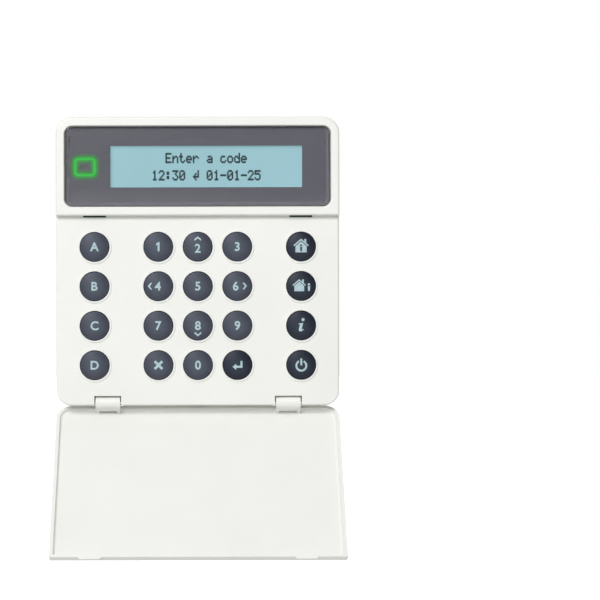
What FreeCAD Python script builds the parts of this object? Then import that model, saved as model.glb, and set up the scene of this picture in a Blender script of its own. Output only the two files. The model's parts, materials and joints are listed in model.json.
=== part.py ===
import FreeCAD, Part
import math
import os

from FreeCAD import Vector

# Wall keypad of an alarm system. A rear base screws to the wall and a front cover closes over it. The
# cover's upper part is raised and holds the display, and a flip-down door hides the keys below it.
# The model rests with the door open against its stop.
# Frame: millimetres, origin at the centre of the wall face, +X to the user's right, +Y into the wall, +Z up.

# Case
COVER_W, COVER_H, DEPTH = 120.0, 122.2, 22.0
BASE_W = 120.6
TOP_R, BOTTOM_R = 7.0, 6.3
EDGE_R = 0.9
SKIN = 2.0
GAP = 0.3  # reveal between the base and the cover
BASE_RISE = 7.5
LEDGE, LEDGE_FROM = 0.5, 44.5  # the base's lip below the cover, outside the hinges
LIP_T, LIP_RISE, LIP_PLAY = 1.0, 9.1, 0.2
HOOK_X, HOOK_W, HOOK_T, HOOK_REACH = 35.0, 8.0, 1.6, 1.1
STEP_Z, STEP_DROP = 19.4, 3.2
PLATE_T = 2.2

# Display
WINDOW_W, WINDOW_Z, WINDOW_R, WINDOW_PLAY = 113.0, (23.1, 57.4), 3.5, 0.15
WINDOW_SET, WINDOW_T, WINDOW_RIM_R = 1.0, 1.6, 0.5
MASK_T, SEAT_T, SEAT_W, SEAT_R = 0.2, 1.4, 2.2, 1.5
BEVEL_W, BEVEL_DROP = 1.8, 0.35
LCD_X, LCD_Z, LCD_VIEW_W, LCD_VIEW_H = 3.65, 40.25, 81.3, 17.6
LCD_BEHIND, LCD_GLASS_W, LCD_GLASS_H, LCD_GLASS_T = 0.7, 88.0, 24.4, 2.2
LCD_FRAME_W, LCD_FRAME_H = 92.0, 28.5
BACKLIGHT_W, BACKLIGHT_H = 86.0, 18.6
STRIP_W, STRIP_T, STRIP_UP = 84.0, 2.0, 11.0
RING_X, RING_Z, RING_W, RING_H, RING_T, RING_R = -47.8, 40.1, 8.2, 6.8, 1.25, 1.4

# Keys, by column and row, and the pieces behind them
KEY_D, KEY_GAP, KEY_PROUD, KEY_CROWN, KEY_EDGE_R = 12.3, 0.25, 1.2, 0.7, 0.35
COLLAR_W, COLLAR_H = 0.8, 0.4
COLUMNS = (-43.8, -16.75, 0.0, 16.75, 43.8)
ROWS = (6.25, -10.48, -27.22, -43.95)
KEY_NAMES = (
    ("key_a", "key_1", "key_2", "key_3", "key_home"),
    ("key_b", "key_4", "key_5", "key_6", "key_away"),
    ("key_c", "key_7", "key_8", "key_9", "key_info"),
    ("key_d", "key_cancel", "key_0", "key_enter", "key_power"),
)
FLANGE_T, FLANGE_W, FLANGE_PLAY, STEM_R = 0.8, 0.9, 0.1, 2.0
DOME_H, DOME_R, DOME_TOP_R, MAT_T, MAT_W, MAT_Z = 1.2, 4.6, 2.5, 1.0, 105.0, (-51.4, 13.8)
KEY_LAMP_UP, KEY_LAMP_W, KEY_LAMP_H, KEY_LAMP_T = 6.0, 1.6, 0.8, 0.6

# Board and what it carries
BOARD_T, BOARD_FRONT = 1.6, -12.6
BOARD_W, BOARD_Z = 112.4, (-54.8, 58.4)
BOSS_PLACES = ((53.0, 55.5), (30.3, 14.8), (30.3, -18.85), (30.3, -50.5))
BOSSES = [(side * x, z) for x, z in BOSS_PLACES for side in (-1, 1)]
BOSS_R, PILOT_R, PILOT_DEPTH = 2.3, 1.15, 3.6
SCREW_R, SCREW_HEAD_R, SCREW_HEAD_H, SCREW_REACH = 1.1, 2.1, 1.4, 3.2
TERMINAL_Z, TERMINAL_BACK, WAYS, PITCH = (1.5, 9.7), -3.2, 4, 5.08
TERMINAL_SCREW_UP, TERMINAL_SCREW_R, TERMINAL_WELL = 3.4, 1.65, 2.2
SOUNDER_X, SOUNDER_Z, SOUNDER_R, SOUNDER_BACK, SOUND_HOLE_R = -29.0, 33.0, 11.5, -4.6, 1.5
CHIP_X, CHIP_Z, CHIP_W, CHIP_T = 6.0, -42.5, 12.0, 1.5
CAPACITORS_X, CAPACITOR_Z, CAPACITOR_R, CAPACITOR_BACK = (22.0, 30.5), 30.0, 3.15, -5.2
REGULATOR_X, REGULATOR_Z, REGULATOR_T = (36.5, 43.0), (25.0, 34.0), 2.3
DRIVERS_X, DRIVER_Z, DRIVER_W, DRIVER_H, DRIVER_T = (-12.0, -3.0, 6.0), 22.0, 5.0, 4.0, 1.5
HEADER_X, HEADER_Z, HEADER_STEP, HEADER_PINS, HEADER_PIN_W, HEADER_PIN_REACH = 38.0, -22.0, 2.54, 5, 0.64, 7.2
TAMPER_X, TAMPER_Z, TAMPER_W, TAMPER_BUTTON, TAMPER_BUTTON_R = -38.0, -20.0, 6.0, -6.9, 1.6
SPRING_WIRE_R, SPRING_R, SPRING_TURNS, SPRING_END_PLAY = 0.25, 2.3, 5, 0.02

# Door and hinge. The pivot is given from the display's front face and from the cover's bottom edge.
DOOR_W, DOOR_T, DOOR_SKIN, DOOR_GAP, DOOR_EDGE_R = 120.6, 3.0, 1.5, 0.5, 0.8
RIM_W, END_RIM_W, END_RIM_DROP, FLOOR_R = 1.5, 1.0, 0.1, 1.2
SKIRT_W, SKIRT_DROP, SKIRT_FROM = 64.0, 0.35, 1.0  # the lip that fills the gap below the cover when open
PIVOT_IN, PIVOT_UP = 6.65, 1.2
OPEN_ANGLE = 137.6
HINGE_X, ARM_W, CHEEK_W, ARM_RISE, ARM_LAP = 38.35, 10.4, 1.4, 1.6, 0.7
NOTCH_W, NOTCH_H, POCKET_T, POCKET_ROOM = 11.4, 4.07, 1.45, 0.65
KNUCKLE_R, PIN_R, PIN_RUN, PIN_END_PLAY, LUG_W = 2.9, 0.7, 0.06, 0.3, 3.5
CATCH_X, CATCH_W, TAB_W, TAB_RISE, TAB_TAPER = 43.8, 9.75, 8.5, 0.8, 0.4
GATE_X, GATE_R, GATE_RISE = -11.4, 0.7, 0.1  # the stub left where the door was moulded
EJECTOR_R, EJECTOR_DEPTH, EJECTORS = 1.3, 0.08, ((43.5, -52.0), (47.4, 10.0))

# Wall fixings, cable entry and the screw that locks the cover
WALL_SCREW_X, WALL_SCREW_Z, WALL_SCREW_R = 45.0, 40.0, 2.25
BOX_SCREW_X, BOX_SCREW_R = 30.15, 2.0
PAD_W, PAD_RISE = 2.3, 1.2
CABLE_X, CABLE_Z, CABLE_R = 20.0, (-34.0, -8.0), 3.0
KNOCKOUT_R, KNOCKOUTS_Z, KNOCKOUT_GROOVE = 8.0, (28.0, -49.0), 0.6
LOCK_Y, LOCK_HOLE_R, LOCK_HEAD_ROOM_R, LOCK_HEAD_DEPTH = -10.2, 1.7, 3.1, 1.2
LOCK_HEAD_R, LOCK_HEAD_H, LOCK_SHANK_R, LOCK_SHANK, LOCK_SUNK = 2.7, 1.0, 1.4, 7.0, 0.2

# Levels, counted from the wall towards the user
FACE = -DEPTH
PLATE = FACE + STEP_DROP
PLATE_BACK = PLATE + PLATE_T
SEAT = FACE + WINDOW_SET + WINDOW_T + MASK_T
SEAT_BACK = SEAT + SEAT_T
LCD_FRONT = SEAT + LCD_BEHIND
LCD_BACK = LCD_FRONT + LCD_GLASS_T
COVER_BACK = -BASE_RISE - GAP
BOARD_BACK = BOARD_FRONT + BOARD_T
MAT_FRONT = BOARD_FRONT - MAT_T
HALF_W, HALF_H = COVER_W / 2, COVER_H / 2
PIVOT = Vector(0, FACE + PIVOT_IN, -HALF_H + PIVOT_UP)
BEYOND = 80.0  # further than any wall of the case
OVER = 0.5  # how far a piece that is added or cut runs past the face it starts from

ALONG_X, ALONG_Y, ALONG_Z = Vector(1, 0, 0), Vector(0, 1, 0), Vector(0, 0, 1)
SIDES = (-1, 1)


def block(x, y, z):
    """A box between three pairs of limits."""
    return Part.makeBox(x[1] - x[0], y[1] - y[0], z[1] - z[0], Vector(x[0], y[0], z[0]))


def centred(middle, width):
    return middle - width / 2, middle + width / 2


def shrunk(limits, amount):
    return limits[0] + amount, limits[1] - amount


def rod(x, z, radius, y):
    """A round bar along Y, between two levels."""
    return Part.makeCylinder(radius, y[1] - y[0], Vector(x, y[0], z), ALONG_Y)


def outline(x, z, y, bottom_r, top_r=None):
    """A rectangle with rounded corners, at one level."""
    top_r = bottom_r if top_r is None else top_r
    ends, edges = [], []
    for side, level, r in ((1, -1, bottom_r), (1, 1, top_r), (-1, 1, top_r), (-1, -1, bottom_r)):
        cx = x[side > 0] - side * r
        cz = z[level > 0] - level * r
        middle = math.atan2(level, side)
        first, half, last = [
            Vector(cx + r * math.cos(a), y, cz + r * math.sin(a))
            for a in (middle - math.pi / 4, middle, middle + math.pi / 4)
        ]
        edges.append(Part.Arc(first, half, last).toShape())
        ends.append((first, last))
    for (_, last), (first, _) in zip(ends, ends[1:] + ends[:1]):
        edges.append(Part.makeLine(last, first))
    return Part.Wire(Part.__sortEdges__(edges))


def panel(x, z, y, bottom_r, top_r=None):
    """A slab with rounded corners, between two levels."""
    return Part.Face(outline(x, z, y[0], bottom_r, top_r)).extrude(Vector(0, y[1] - y[0], 0))


def tile(width, height, x, z, y, r):
    """A slab with rounded corners about a centre."""
    return panel(centred(x, width), centred(z, height), y, r)


def turned(points, x, z):
    """A solid of revolution about an axis along Y, from (radius, level) points that start and end on it."""
    wire = Part.makePolygon([Vector(r, y, 0) for r, y in points + points[:1]])
    solid = Part.Face(wire).revolve(Vector(), ALONG_Y, 360)
    return solid.translate(Vector(x, 0, z))


def joined(first, *others):
    return first.multiFuse(list(others)).removeSplitter()


def rounded(shape, radius, wanted):
    """The shape with a radius on every edge whose bounding box passes a test."""
    return shape.makeFillet(radius, [edge for edge in shape.Edges if wanted(edge.BoundBox)])


def on_level(box, y):
    return abs(box.YMin - y) < 0.01 and abs(box.YMax - y) < 0.01


def keys():
    for z, names in zip(ROWS, KEY_NAMES):
        for x, name in zip(COLUMNS, names):
            yield name, x, z


def hinge_sides():
    return (("left", -HINGE_X), ("right", HINGE_X))


# Front cover

def cover_shell():
    """The cover's outer form: the step between its two levels, the hollow, and rounded front edges."""
    shell = panel((-HALF_W, HALF_W), (-HALF_H, HALF_H), (FACE, COVER_BACK), BOTTOM_R, TOP_R)
    shell = shell.cut(block((-BEYOND, BEYOND), (FACE - OVER, PLATE), (-BEYOND, STEP_Z)))
    shell = rounded(shell, EDGE_R, lambda b: on_level(b, FACE))
    shell = rounded(shell, EDGE_R, lambda b: on_level(b, PLATE) and b.ZLength > EDGE_R)
    x, z = shrunk((-HALF_W, HALF_W), SKIN), shrunk((-HALF_H, HALF_H), SKIN)
    hollow = panel(x, z, (PLATE_BACK, COVER_BACK + OVER), BOTTOM_R - SKIN, TOP_R - SKIN)
    upper = panel(x, (STEP_Z + SKIN, z[1]), (SEAT_BACK, PLATE_BACK + OVER), 1.0, TOP_R - SKIN)
    return shell.cut([hollow, upper])


def window_seat():
    """What is cut for the window: a recess that holds it, and the aperture inside its ledge."""
    x = centred(0, WINDOW_W)
    recess = panel(x, WINDOW_Z, (FACE - OVER, SEAT), WINDOW_R)
    aperture = panel(shrunk(x, SEAT_W), shrunk(WINDOW_Z, SEAT_W), (SEAT - OVER, SEAT_BACK + OVER), SEAT_R)
    return [recess, aperture]


def on_window_rim(box):
    """Whether an edge is part of the window recess's front rim."""
    inside_x = box.XMin > -WINDOW_W / 2 - 0.1 and box.XMax < WINDOW_W / 2 + 0.1
    inside_z = box.ZMin > WINDOW_Z[0] - 0.1 and box.ZMax < WINDOW_Z[1] + 0.1
    return on_level(box, FACE) and inside_x and inside_z


def key_collar(x, z):
    """The raised ring round a key hole, with its outer edge rounded."""
    collar = rod(x, z, KEY_D / 2 + KEY_GAP + COLLAR_W, (PLATE - COLLAR_H, PLATE + OVER))
    return rounded(collar, COLLAR_H / 2, lambda b: on_level(b, PLATE - COLLAR_H))


def key_hole(x, z):
    return rod(x, z, KEY_D / 2 + KEY_GAP, (PLATE - 1, PLATE_BACK + 1))


def screw_boss(x, z):
    """A post behind the front that holds the board at its level."""
    root = SEAT_BACK if z > STEP_Z else PLATE_BACK
    return rod(x, z, BOSS_R, (root - OVER, BOARD_FRONT))


def hinge_pocket(x):
    """The walled pocket behind a hinge notch, whose two thick sides hold the pin."""
    return block(
        centred(x, NOTCH_W + 2 * LUG_W),
        (PLATE_BACK - OVER, PIVOT.y + KNUCKLE_R + POCKET_ROOM + POCKET_T),
        (-HALF_H + KEY_GAP, -HALF_H + NOTCH_H + 1.8),
    )


def hinge_notch(x):
    """What is cut for a hinge arm: the notch in the plate, the room for the knuckle, and the pin's bore."""
    across = centred(x, NOTCH_W)
    notch = block(across, (PLATE - 1, PLATE_BACK), (-BEYOND, -HALF_H + NOTCH_H))
    room_y = (PLATE_BACK, PIVOT.y + KNUCKLE_R + POCKET_ROOM)
    room = block(across, room_y, (-BEYOND, PIVOT.z + KNUCKLE_R + 0.5))
    start = PIVOT + Vector(x - NOTCH_W / 2 - LUG_W, 0, 0)
    bore = Part.makeCylinder(PIN_R, NOTCH_W + 2 * LUG_W, start, ALONG_X)
    return [notch, room, bore]


def catch_slot(x):
    """A slot under the step that opens into the hollow behind it."""
    return block(centred(x, CATCH_W), (FACE + 1.1, PLATE_BACK + OVER), (STEP_Z - 0.65, STEP_Z + 2.6))


def hook_room(side):
    """The pocket inside the top wall that the rear base's hook reaches into."""
    return block(centred(side * HOOK_X, HOOK_W + 1), (-10.8, -8.6), (HALF_H - SKIN - 1, HALF_H - 0.7))


def lock_screw_hole():
    """The counterbored hole in the bottom wall for the screw that locks the cover to the base."""
    start = Vector(0, LOCK_Y, -HALF_H)
    bore = Part.makeCylinder(LOCK_HOLE_R, SKIN + OVER, start, ALONG_Z)
    return [bore, Part.makeCylinder(LOCK_HEAD_ROOM_R, LOCK_HEAD_DEPTH, start, ALONG_Z)]


def front_cover():
    cover = joined(
        cover_shell(),
        *[key_collar(x, z) for _, x, z in keys()],
        *[hinge_pocket(x) for _, x in hinge_sides()],
        *[screw_boss(x, z) for x, z in BOSSES],
    )
    cuts = window_seat() + lock_screw_hole()
    cuts += [key_hole(x, z) for _, x, z in keys()]
    cuts += [rod(x, z, PILOT_R, (BOARD_FRONT - PILOT_DEPTH, BOARD_FRONT + OVER)) for x, z in BOSSES]
    for side in SIDES:
        cuts += [catch_slot(side * CATCH_X), hook_room(side)]
    for _, x in hinge_sides():
        cuts += hinge_notch(x)
    return rounded(cover.cut(cuts), WINDOW_RIM_R, on_window_rim)


# Rear base

def base_hook(side, inner, outer):
    """A hook on the locating lip that reaches into the cover's top wall."""
    x = centred(side * HOOK_X, HOOK_W)
    head = (-LIP_RISE - 1.2, -LIP_RISE + 0.4)
    arm = block(x, head, (inner, outer + HOOK_REACH))
    root = block(x, (head[0], head[0] + 2.2), (inner, outer))
    return arm.fuse(root)


def base_pads():
    """Where the base has raised pads with screw holes: (x, z, hole radius)."""
    wall = [(i * WALL_SCREW_X, j * WALL_SCREW_Z, WALL_SCREW_R) for i in SIDES for j in SIDES]
    return wall + [(side * BOX_SCREW_X, 0, BOX_SCREW_R) for side in SIDES]


def knockout_groove(z):
    """A round groove in the wall face that leaves a disc to be pushed out for a cable."""
    level = (-KNOCKOUT_GROOVE, OVER)
    return rod(0, z, KNOCKOUT_R, level).cut(rod(0, z, KNOCKOUT_R - 1, level))


def rear_base():
    """The wall tray: floor, wall, locating lip, hooks, cable entry and screw holes."""
    full_x, full_z = centred(0, BASE_W), (-HALF_H - LEDGE, HALF_H)
    tray = panel(full_x, full_z, (-BASE_RISE, 0), BOTTOM_R, TOP_R)
    lip_x, lip_z = (shrunk((-half, half), SKIN + LIP_PLAY) for half in (HALF_W, HALF_H))
    corners = BOTTOM_R - SKIN, TOP_R - SKIN
    hollow = panel(lip_x, lip_z, (-BASE_RISE - OVER, -SKIN), *corners)
    below = block((-LEDGE_FROM, LEDGE_FROM), (-BASE_RISE - OVER, OVER), (-BEYOND, -HALF_H))
    lip = panel(lip_x, lip_z, (-LIP_RISE, -BASE_RISE + 3), *corners)
    bare_x, bare_z = shrunk(lip_x, LIP_T), shrunk(lip_z, LIP_T)
    inner_corners = [r - LIP_T for r in corners]
    lip = lip.cut(panel(bare_x, bare_z, (-LIP_RISE - OVER, -SKIN), *inner_corners))
    lock_boss = block((-4, 4), (LOCK_Y - 3, -SKIN + OVER), (lip_z[0], lip_z[0] + 6.5))
    pads = [rod(x, z, r + PAD_W, (-SKIN - PAD_RISE, -SKIN + OVER)) for x, z, r in base_pads()]
    hooks = [base_hook(side, bare_z[1], lip_z[1]) for side in SIDES]
    tray = joined(tray.cut([hollow, below]), lip, lock_boss, *hooks, *pads)
    cuts = [panel((-CABLE_X, CABLE_X), CABLE_Z, (-SKIN - OVER, OVER), CABLE_R)]
    cuts += [rod(x, z, r, (-SKIN - PAD_RISE - OVER, OVER)) for x, z, r in base_pads()]
    cuts += [knockout_groove(z) for z in KNOCKOUTS_Z]
    cuts.append(Part.makeCylinder(LOCK_SHANK_R + 0.05, 8.5, Vector(0, LOCK_Y, -HALF_H), ALONG_Z))
    return tray.cut(cuts)


def cover_lock_screw():
    """The slotted screw that locks the cover's bottom edge to the base."""
    low = -HALF_H + LOCK_SUNK
    head = Part.makeCylinder(LOCK_HEAD_R, LOCK_HEAD_H, Vector(0, LOCK_Y, low), ALONG_Z)
    shank = Part.makeCylinder(LOCK_SHANK_R, LOCK_SHANK, Vector(0, LOCK_Y, low + LOCK_HEAD_H), ALONG_Z)
    slot = block(centred(0, 4.4), centred(LOCK_Y, 0.7), (-HALF_H, low + LOCK_HEAD_H / 2))
    return joined(head, shank).cut(slot)


# Display

def display_window():
    """The smoked window: a plate with a shallow bevel round its front."""
    x, z, r = shrunk(centred(0, WINDOW_W), WINDOW_PLAY), shrunk(WINDOW_Z, WINDOW_PLAY), WINDOW_R - WINDOW_PLAY
    front = FACE + WINDOW_SET
    plate = panel(x, z, (front + BEVEL_DROP, front + WINDOW_T), r)
    low = outline(x, z, front + BEVEL_DROP, r)
    high = outline(shrunk(x, BEVEL_W), shrunk(z, BEVEL_W), front, r - BEVEL_W)
    return joined(plate, Part.makeLoft([low, high], True, True))


def window_mask():
    """The printed film behind the window, open over the LCD."""
    play = WINDOW_PLAY + 0.05
    x, z = shrunk(centred(0, WINDOW_W), play), shrunk(WINDOW_Z, play)
    film = panel(x, z, (SEAT - MASK_T, SEAT), WINDOW_R - play)
    return film.cut(tile(LCD_VIEW_W, LCD_VIEW_H, LCD_X, LCD_Z, (SEAT - OVER, SEAT + OVER), 0.3))


def lcd_glass():
    return tile(LCD_GLASS_W, LCD_GLASS_H, LCD_X, LCD_Z, (LCD_FRONT, LCD_BACK), 0.3)


def lcd_frame():
    """The holder that stands on the board round the glass."""
    outer = tile(LCD_FRAME_W, LCD_FRAME_H, LCD_X, LCD_Z, (LCD_FRONT + 0.2, BOARD_FRONT), 1.2)
    room = tile(LCD_GLASS_W + 0.4, LCD_GLASS_H + 0.4, LCD_X, LCD_Z, (LCD_FRONT, BOARD_FRONT + OVER), 0.5)
    return outer.cut(room)


def lcd_backlight():
    return tile(BACKLIGHT_W, BACKLIGHT_H, LCD_X, LCD_Z, (LCD_BACK + 0.1, BOARD_FRONT - 0.4), 0.8)


def lcd_contact_strips():
    """The two elastomer strips that connect the glass to the board."""
    across, level = centred(LCD_X, STRIP_W), (LCD_BACK, BOARD_FRONT)
    return [block(across, level, centred(LCD_Z + side * STRIP_UP, STRIP_T)) for side in SIDES]


def status_light_pipe():
    """A rounded-rectangle tube that carries light from the board to the back of the mask."""
    y = (SEAT + 0.1, BOARD_FRONT - 0.9)
    outer = tile(RING_W + RING_T, RING_H + RING_T, RING_X, RING_Z, y, RING_R)
    through = (y[0] - OVER, y[1] + OVER)
    inner = tile(RING_W - RING_T, RING_H - RING_T, RING_X, RING_Z, through, RING_R - RING_T / 2)
    return outer.cut(inner)


def status_leds():
    level, height = (BOARD_FRONT - 0.7, BOARD_FRONT), centred(RING_Z, 2.0)
    return [block(centred(RING_X + side * RING_W / 2, 1.0), level, height) for side in SIDES]


# Keys

def key_cap(x, z):
    """A domed cap with a flange that stops it behind the plate, and a stem that presses the mat."""
    r, top = KEY_D / 2, PLATE - KEY_PROUD
    edge = top + KEY_CROWN
    sphere_r = (r * r + KEY_CROWN * KEY_CROWN) / (2 * KEY_CROWN)
    flange = PLATE_BACK + FLANGE_PLAY
    below_edge = rod(0, 0, r, (edge, flange + FLANGE_T))
    dome = Part.makeSphere(sphere_r, Vector(0, top + sphere_r, 0))
    cap = rod(0, 0, r, (top - OVER, flange + FLANGE_T)).common(dome.fuse(below_edge))
    cap = rounded(cap, KEY_EDGE_R, lambda b: on_level(b, edge) and b.XLength > r)
    stem_end = MAT_FRONT - DOME_H - 0.1
    cap = joined(
        cap,
        rod(0, 0, r + FLANGE_W, (flange, flange + FLANGE_T)),
        rod(0, 0, STEM_R, (flange, stem_end)),
    )
    return cap.translate(Vector(x, 0, z))


def mat_dome(x, z):
    low, high = MAT_FRONT + 0.3, MAT_FRONT - DOME_H
    return turned([(0, high), (DOME_TOP_R, high), (DOME_R, low), (0, low)], x, z)


def mat_dome_hollow(x, z):
    """The hollow under a dome. It leaves a top thick enough to press and a wall that can buckle."""
    low, high = BOARD_FRONT + 0.1, MAT_FRONT - DOME_H + 0.7
    return turned([(0, high), (DOME_TOP_R - 0.8, high), (DOME_R - 1, low), (0, low)], x, z)


def key_mat():
    """The silicone sheet on the board, with a hollow dome under every key and a hole over every lamp."""
    sheet = panel(centred(0, MAT_W), MAT_Z, (MAT_FRONT, BOARD_FRONT), 2.0)
    through = (MAT_FRONT - 1, BOARD_FRONT + 1)
    cuts = [rod(x, z, BOSS_R + 0.5, through) for x, z in BOSSES]
    for _, x, z in keys():
        cuts.append(mat_dome_hollow(x, z))
        cuts.append(block(centred(x, KEY_LAMP_W + 1), through, centred(z + KEY_LAMP_UP, KEY_LAMP_H + 1)))
    return joined(sheet, *[mat_dome(x, z) for _, x, z in keys()]).cut(cuts)


def key_leds():
    level = (BOARD_FRONT - KEY_LAMP_T, BOARD_FRONT)
    return [block(centred(x, KEY_LAMP_W), level, centred(z + KEY_LAMP_UP, KEY_LAMP_H)) for _, x, z in keys()]


# Board and what it carries

def main_board():
    """The printed circuit board, with a screw hole at every boss and room for the lock screw's boss."""
    through = (BOARD_FRONT - OVER, BOARD_BACK + OVER)
    cuts = [rod(x, z, SCREW_R + 0.25, through) for x, z in BOSSES]
    cuts.append(block(centred(0, 11.0), through, (-BEYOND, BOARD_Z[0] + 2.9)))
    return panel(centred(0, BOARD_W), BOARD_Z, (BOARD_FRONT, BOARD_BACK), 3.0).cut(cuts)


def board_screw(x, z):
    """A pan-head screw from the back of the board into a boss of the cover, with a cross recess."""
    end = BOARD_BACK + SCREW_HEAD_H
    head = rounded(rod(x, z, SCREW_HEAD_R, (BOARD_BACK, end)), 0.5, lambda b: on_level(b, end))
    shank = rod(x, z, SCREW_R, (BOARD_FRONT - SCREW_REACH, BOARD_BACK + 0.1))
    length, width, level = 2.4, 0.5, (end - 0.6, end + OVER)
    cross = [
        block(centred(x, length), level, centred(z, width)),
        block(centred(x, width), level, centred(z, length)),
    ]
    return joined(head, shank).cut(cross)


def board_screws():
    return [board_screw(x, z) for x, z in BOSSES]


def terminal_ways():
    """Where each way of the terminal block is, along X."""
    return [(i - (WAYS - 1) / 2) * PITCH for i in range(WAYS)]


def terminal_block():
    """The screw terminals for the wires from the wall, which enter from below."""
    body = block(centred(0, WAYS * PITCH), (BOARD_BACK, TERMINAL_BACK), TERMINAL_Z)
    screw_z = TERMINAL_Z[0] + TERMINAL_SCREW_UP
    well = (TERMINAL_BACK - TERMINAL_WELL, TERMINAL_BACK + OVER)
    wire_y, wire_z = (BOARD_BACK + 1.4, BOARD_BACK + 4.2), (TERMINAL_Z[0] - OVER, TERMINAL_Z[0] + 5)
    cuts = [rod(x, screw_z, TERMINAL_SCREW_R + 0.15, well) for x in terminal_ways()]
    cuts += [block(centred(x, 3.0), wire_y, wire_z) for x in terminal_ways()]
    cuts.append(block((-BEYOND, BEYOND), (TERMINAL_BACK - 2.6, 0), (TERMINAL_Z[1] - 1.6, BEYOND)))
    return body.cut(cuts)


def terminal_screw(x):
    z, y = TERMINAL_Z[0] + TERMINAL_SCREW_UP, (TERMINAL_BACK - TERMINAL_WELL, TERMINAL_BACK - 0.6)
    slot = block(centred(x, 3.6), (y[1] - 0.7, y[1] + OVER), centred(z, 0.6))
    return rod(x, z, TERMINAL_SCREW_R, y).cut(slot)


def terminal_screws():
    return [terminal_screw(x) for x in terminal_ways()]


def sounder():
    """The round buzzer, with a sound hole in its back."""
    can = rod(SOUNDER_X, SOUNDER_Z, SOUNDER_R, (BOARD_BACK, SOUNDER_BACK))
    can = rounded(can, 0.8, lambda b: on_level(b, SOUNDER_BACK))
    return can.cut(rod(SOUNDER_X, SOUNDER_Z, SOUND_HOLE_R, (SOUNDER_BACK - 1, SOUNDER_BACK + OVER)))


def controller_chip():
    """The processor, with the small round mark at its first pin."""
    level = (BOARD_BACK + 0.1, BOARD_BACK + 0.1 + CHIP_T)
    body = tile(CHIP_W, CHIP_W, CHIP_X, CHIP_Z, level, 0.4)
    return body.cut(rod(CHIP_X - CHIP_W / 3, CHIP_Z + CHIP_W / 3, 0.7, (level[1] - 0.2, level[1] + OVER)))


def board_components():
    """Two can capacitors, a regulator and three small chips on the back of the board."""
    parts = []
    for x in CAPACITORS_X:
        can = rod(x, CAPACITOR_Z, CAPACITOR_R, (BOARD_BACK, CAPACITOR_BACK))
        parts.append(rounded(can, 0.6, lambda b: on_level(b, CAPACITOR_BACK)))
    parts.append(block(REGULATOR_X, (BOARD_BACK, BOARD_BACK + REGULATOR_T), REGULATOR_Z))
    driver_y, driver_z = (BOARD_BACK, BOARD_BACK + DRIVER_T), centred(DRIVER_Z, DRIVER_H)
    return parts + [block(centred(x, DRIVER_W), driver_y, driver_z) for x in DRIVERS_X]


def program_header():
    """A pin header: its plastic body with square pins through it."""
    height = HEADER_PINS * HEADER_STEP
    body = block(centred(HEADER_X, 2.5), (BOARD_BACK, BOARD_BACK + 2.5), centred(HEADER_Z, height))
    across, level = centred(HEADER_X, HEADER_PIN_W), (BOARD_BACK + 0.2, BOARD_BACK + HEADER_PIN_REACH)
    places = [HEADER_Z + (i - (HEADER_PINS - 1) / 2) * HEADER_STEP for i in range(HEADER_PINS)]
    return joined(body, *[block(across, level, centred(z, HEADER_PIN_W)) for z in places])


def tamper_switch():
    body = tile(TAMPER_W, TAMPER_W, TAMPER_X, TAMPER_Z, (BOARD_BACK, TAMPER_BUTTON - 0.7), 0.3)
    return joined(body, rod(TAMPER_X, TAMPER_Z, TAMPER_BUTTON_R, (TAMPER_BUTTON - 1, TAMPER_BUTTON)))


def tamper_spring():
    """The coil spring that stands on the tamper switch and is held down by the base's floor."""
    start = TAMPER_BUTTON + SPRING_WIRE_R + SPRING_END_PLAY
    height = -SKIN - SPRING_WIRE_R - SPRING_END_PLAY - start
    helix = Part.makeHelix(height / SPRING_TURNS, height, SPRING_R)
    section = Part.Wire(Part.makeCircle(SPRING_WIRE_R, Vector(SPRING_R, 0, 0), ALONG_Y))
    coil = Part.Wire(helix).makePipeShell([section], True, True)
    coil.rotate(Vector(), ALONG_X, -90)
    return coil.translate(Vector(TAMPER_X, start, TAMPER_Z))


# Door and hinge

def arm_side():
    """A hinge arm's outline, as (out, up) from the pivot. Its top is tangent to the knuckle."""
    reach = PIVOT_IN - DOOR_SKIN
    tangent = math.atan2(ARM_RISE, reach) + math.acos(KNUCKLE_R / math.hypot(ARM_RISE, reach))
    touch = KNUCKLE_R * math.cos(tangent), KNUCKLE_R * math.sin(tangent)
    end = reach + ARM_LAP
    return [(0, 0), touch, (reach, ARM_RISE), (end, ARM_RISE), (end, -PIVOT_UP), (0, -PIVOT_UP)]


def hinge_arm(x):
    """A knuckle on the pivot, carried from the door by two cheeks. Its underside is flush with the case's."""
    left = x - ARM_W / 2
    side = arm_side()
    points = [Vector(left, PIVOT.y - out, PIVOT.z + up) for out, up in side + side[:1]]
    arm = Part.Face(Part.makePolygon(points)).extrude(Vector(ARM_W, 0, 0))
    axle = Vector(left, PIVOT.y, PIVOT.z)
    knuckle = Part.makeCylinder(KNUCKLE_R, ARM_W, axle, ALONG_X)
    below = block((-BEYOND, BEYOND), (-BEYOND, 0), (-BEYOND, -HALF_H))
    inside = shrunk(centred(x, ARM_W), CHEEK_W)
    between = block(inside, (FACE + DOOR_SKIN, PIVOT.y - KNUCKLE_R - 0.1), (-BEYOND, -HALF_H + 8))
    rim = block(centred(x, ARM_W), (FACE + DOOR_SKIN - 0.1, FACE + DOOR_T), (-HALF_H, -HALF_H + RIM_W))
    bore = Part.makeCylinder(PIN_R + PIN_RUN, ARM_W, axle, ALONG_X)
    return joined(arm, knuckle.cut(below)).cut(between.cut(rim)).cut(bore)


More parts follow.
